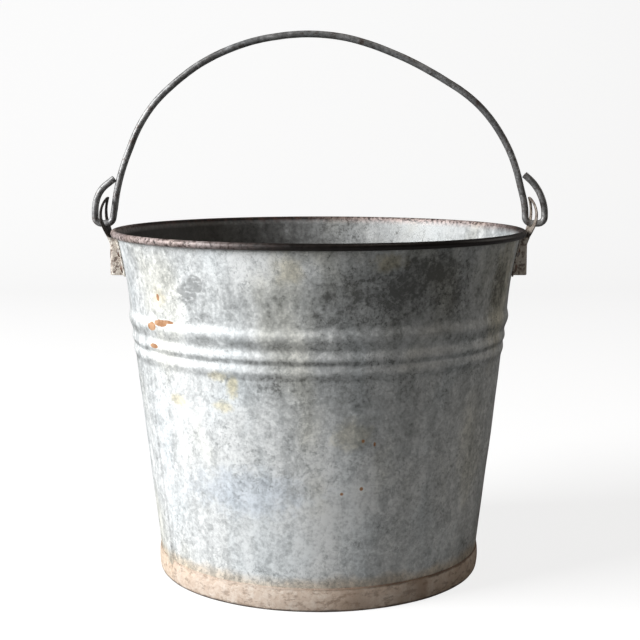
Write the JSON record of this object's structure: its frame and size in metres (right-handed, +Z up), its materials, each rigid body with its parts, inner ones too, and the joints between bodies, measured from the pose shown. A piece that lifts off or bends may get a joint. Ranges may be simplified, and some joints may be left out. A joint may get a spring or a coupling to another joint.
{
  "type": "milk pail",
  "caption": "Round tapered pail of galvanised sheet with a wired rim, swaged ridges, a foot band and a swinging wire bail on riveted ears.",
  "frame": {"origin": "on the floor, at the middle of the foot", "axes": "+Z up; X runs through both ears, along the bail's hinge; the side seam is on the -X, -Y side"},
  "size_m": [0.3196, 0.2888, 0.3747],
  "materials": {
    "galvanised_sheet": "weathered hot-dip zinc, dull and mottled",
    "steel_wire": "bare steel wire, dull",
    "foot_steel": "worn zinc stained brown by rust and dirt",
    "ear_steel": "stamped steel, worn zinc with brown rust",
    "rivet_steel": "dull steel rivet heads",
    "bail_steel": "drawn steel wire, worn zinc, dull"
  },
  "bodies": {
    "pail": {"body_wall": "galvanised_sheet", "rim_wire": "steel_wire", "bottom_pan": "galvanised_sheet", "foot_band": "foot_steel", "ear_left": "ear_steel", "ear_right": "ear_steel", "ear_rivets_left": "rivet_steel", "ear_rivets_right": "rivet_steel"},
    "bail": {"bail_wire": "bail_steel"}
  },
  "joints": [
    {"name": "bail_swing", "type": "hinge", "parent": "pail", "child": "bail", "pos_m": [0, 0, 0.24218], "axis": [1, 0, 0], "range_deg": [-90, 90]}
  ]
}
